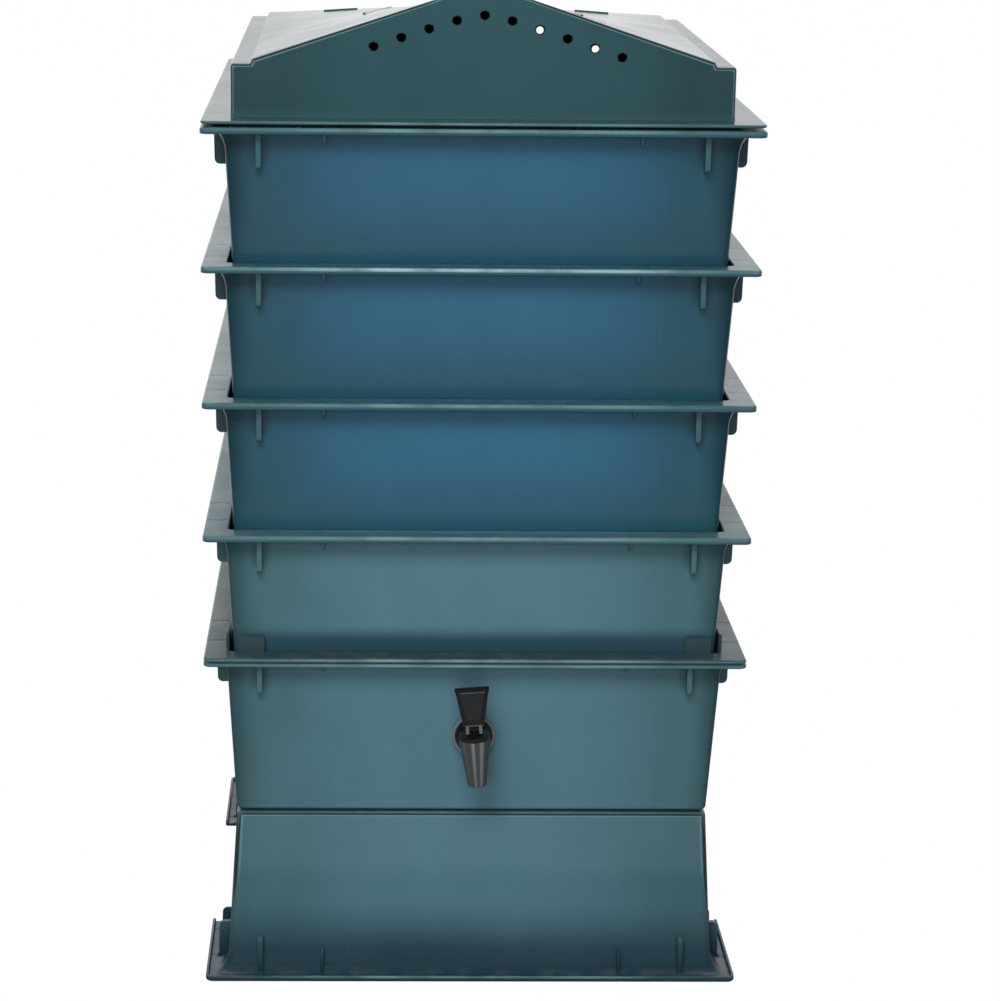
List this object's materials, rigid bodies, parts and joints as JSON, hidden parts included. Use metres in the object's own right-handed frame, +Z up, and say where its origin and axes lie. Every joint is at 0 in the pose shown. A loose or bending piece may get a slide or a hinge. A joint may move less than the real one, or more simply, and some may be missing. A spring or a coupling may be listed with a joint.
{
  "type": "stacking wormery",
  "caption": "Square stacking wormery: vented roof-shaped lid, nested slotted worm trays with lipped flanges, a collector tub with a lever tap and an upturned tub as its stand.",
  "frame": {"origin": "on the floor, under the middle of the whole outline, tap included", "axes": "+Z up, -Y towards the tap and the roof's high gable, +X to the right when facing the tap"},
  "size_m": [0.42, 0.4462, 0.7774],
  "materials": {
    "green_plastic": "satin moulded plastic, light teal",
    "blue_green_plastic": "satin moulded plastic, deep blue teal",
    "lid_plastic": "satin moulded plastic, dark green teal, glossy roof",
    "black_plastic": "semi-gloss black moulding",
    "grey_plastic": "semi-gloss dark grey moulding",
    "rubber": "matt black rubber",
    "silicone": "milky silicone",
    "steel": "plain pin"
  },
  "bodies": {
    "stand": {"base_stand": "green_plastic"},
    "collector": {"collector": "green_plastic", "tap_body": "grey_plastic", "tap_outer_gasket": "rubber", "tap_inner_gasket": "rubber", "tap_nut": "black_plastic", "tap_bonnet": "black_plastic"},
    "tray_4": {"tray_4": "green_plastic"},
    "tray_3": {"tray_3": "blue_green_plastic"},
    "tray_2": {"tray_2": "blue_green_plastic"},
    "tray_1": {"tray_1": "blue_green_plastic"},
    "lid": {"lid": "lid_plastic"},
    "tap_stem": {"tap_stem": "black_plastic", "tap_seat_cup": "silicone", "tap_pin": "steel"},
    "tap_lever": {"tap_lever": "black_plastic"}
  },
  "joints": [
    {"name": "collector_lift", "type": "slide", "parent": "stand", "child": "collector", "axis": [0, 0, 1], "range_m": [0, 0.1]},
    {"name": "tray_4_lift", "type": "slide", "parent": "collector", "child": "tray_4", "axis": [0, 0, 1], "range_m": [0, 0.25]},
    {"name": "tray_3_lift", "type": "slide", "parent": "tray_4", "child": "tray_3", "axis": [0, 0, 1], "range_m": [0, 0.25]},
    {"name": "tray_2_lift", "type": "slide", "parent": "tray_3", "child": "tray_2", "axis": [0, 0, 1], "range_m": [0, 0.25]},
    {"name": "tray_1_lift", "type": "slide", "parent": "tray_2", "child": "tray_1", "axis": [0, 0, 1], "range_m": [0, 0.25]},
    {"name": "lid_lift", "type": "slide", "parent": "tray_1", "child": "lid", "axis": [0, 0, 1], "range_m": [0, 0.25]},
    {"name": "tap_stem_lift", "type": "slide", "parent": "collector", "child": "tap_stem", "axis": [-0.0698, 0, 0.9976], "range_m": [0, 0.00262]},
    {"name": "tap_lever_tilt", "type": "hinge", "parent": "tap_stem", "child": "tap_lever", "pos_m": [-0.00115, -0.2111, 0.21846], "axis": [0.9976, 0, 0.0698], "range_deg": [0, 50], "stiffness_Nm_per_rad": 0.05}
  ],
  "couplings": [
    {"joint": "tap_stem_lift", "follows": "tap_lever_tilt", "m_per_rad": 0.003}
  ]
}
